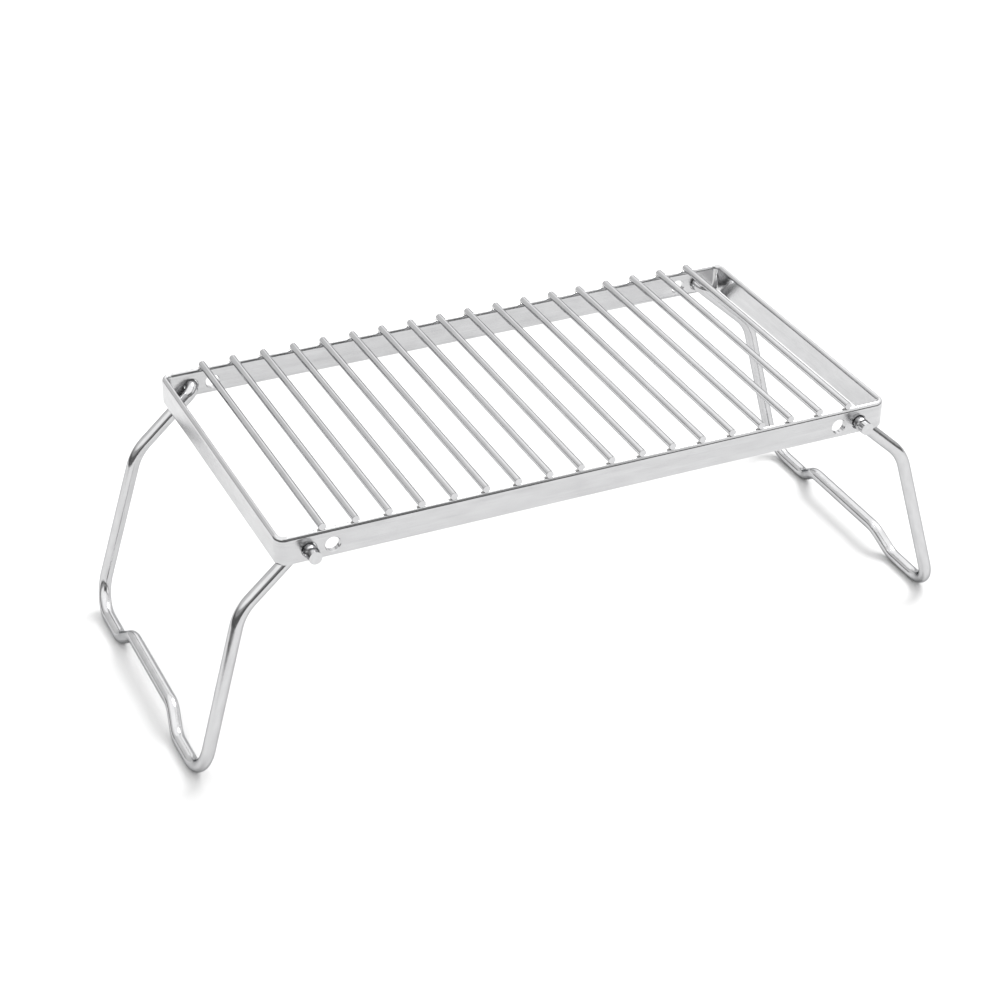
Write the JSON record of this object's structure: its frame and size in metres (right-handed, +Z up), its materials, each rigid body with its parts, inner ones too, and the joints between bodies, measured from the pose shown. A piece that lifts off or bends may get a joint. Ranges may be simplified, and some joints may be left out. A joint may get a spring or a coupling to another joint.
{
  "type": "folding camp grill",
  "caption": "Low camp grill: round bars welded across a frame of bent flat strip, on two U-shaped wire legs that fold in under the rack.",
  "frame": {"origin": "on the ground under the middle of the rack, legs deployed", "axes": "+X along the rack's length towards the right leg, -Y is the front, +Z up"},
  "size_m": [0.3826, 0.1752, 0.1221],
  "materials": {
    "satin_strip": "satin-rolled stainless strip with light brushing and faint heat tint at the welds",
    "drawn_rod": "bright-drawn stainless rod, fine lines along its length",
    "polished_wire": "polished stainless wire"
  },
  "bodies": {
    "rack": {"rack_frame": "satin_strip", "cooking_bar_01": "drawn_rod", "cooking_bar_02": "drawn_rod", "cooking_bar_03": "drawn_rod", "cooking_bar_04": "drawn_rod", "cooking_bar_05": "drawn_rod", "cooking_bar_06": "drawn_rod", "cooking_bar_07": "drawn_rod", "cooking_bar_08": "drawn_rod", "cooking_bar_09": "drawn_rod", "cooking_bar_10": "drawn_rod", "cooking_bar_11": "drawn_rod", "cooking_bar_12": "drawn_rod", "cooking_bar_13": "drawn_rod", "cooking_bar_14": "drawn_rod", "cooking_bar_15": "drawn_rod", "cooking_bar_16": "drawn_rod", "cooking_bar_17": "drawn_rod", "cooking_bar_18": "drawn_rod"},
    "left_leg": {"left_leg": "polished_wire"},
    "right_leg": {"right_leg": "polished_wire"}
  },
  "joints": [
    {"name": "left_leg_fold", "type": "hinge", "parent": "rack", "child": "left_leg", "pos_m": [-0.1354, 0, 0.11087], "axis": [0, -1, 0], "range_deg": [0, 112]},
    {"name": "right_leg_fold", "type": "hinge", "parent": "rack", "child": "right_leg", "pos_m": [0.1354, 0, 0.11087], "axis": [0, 1, 0], "range_deg": [0, 112]}
  ]
}
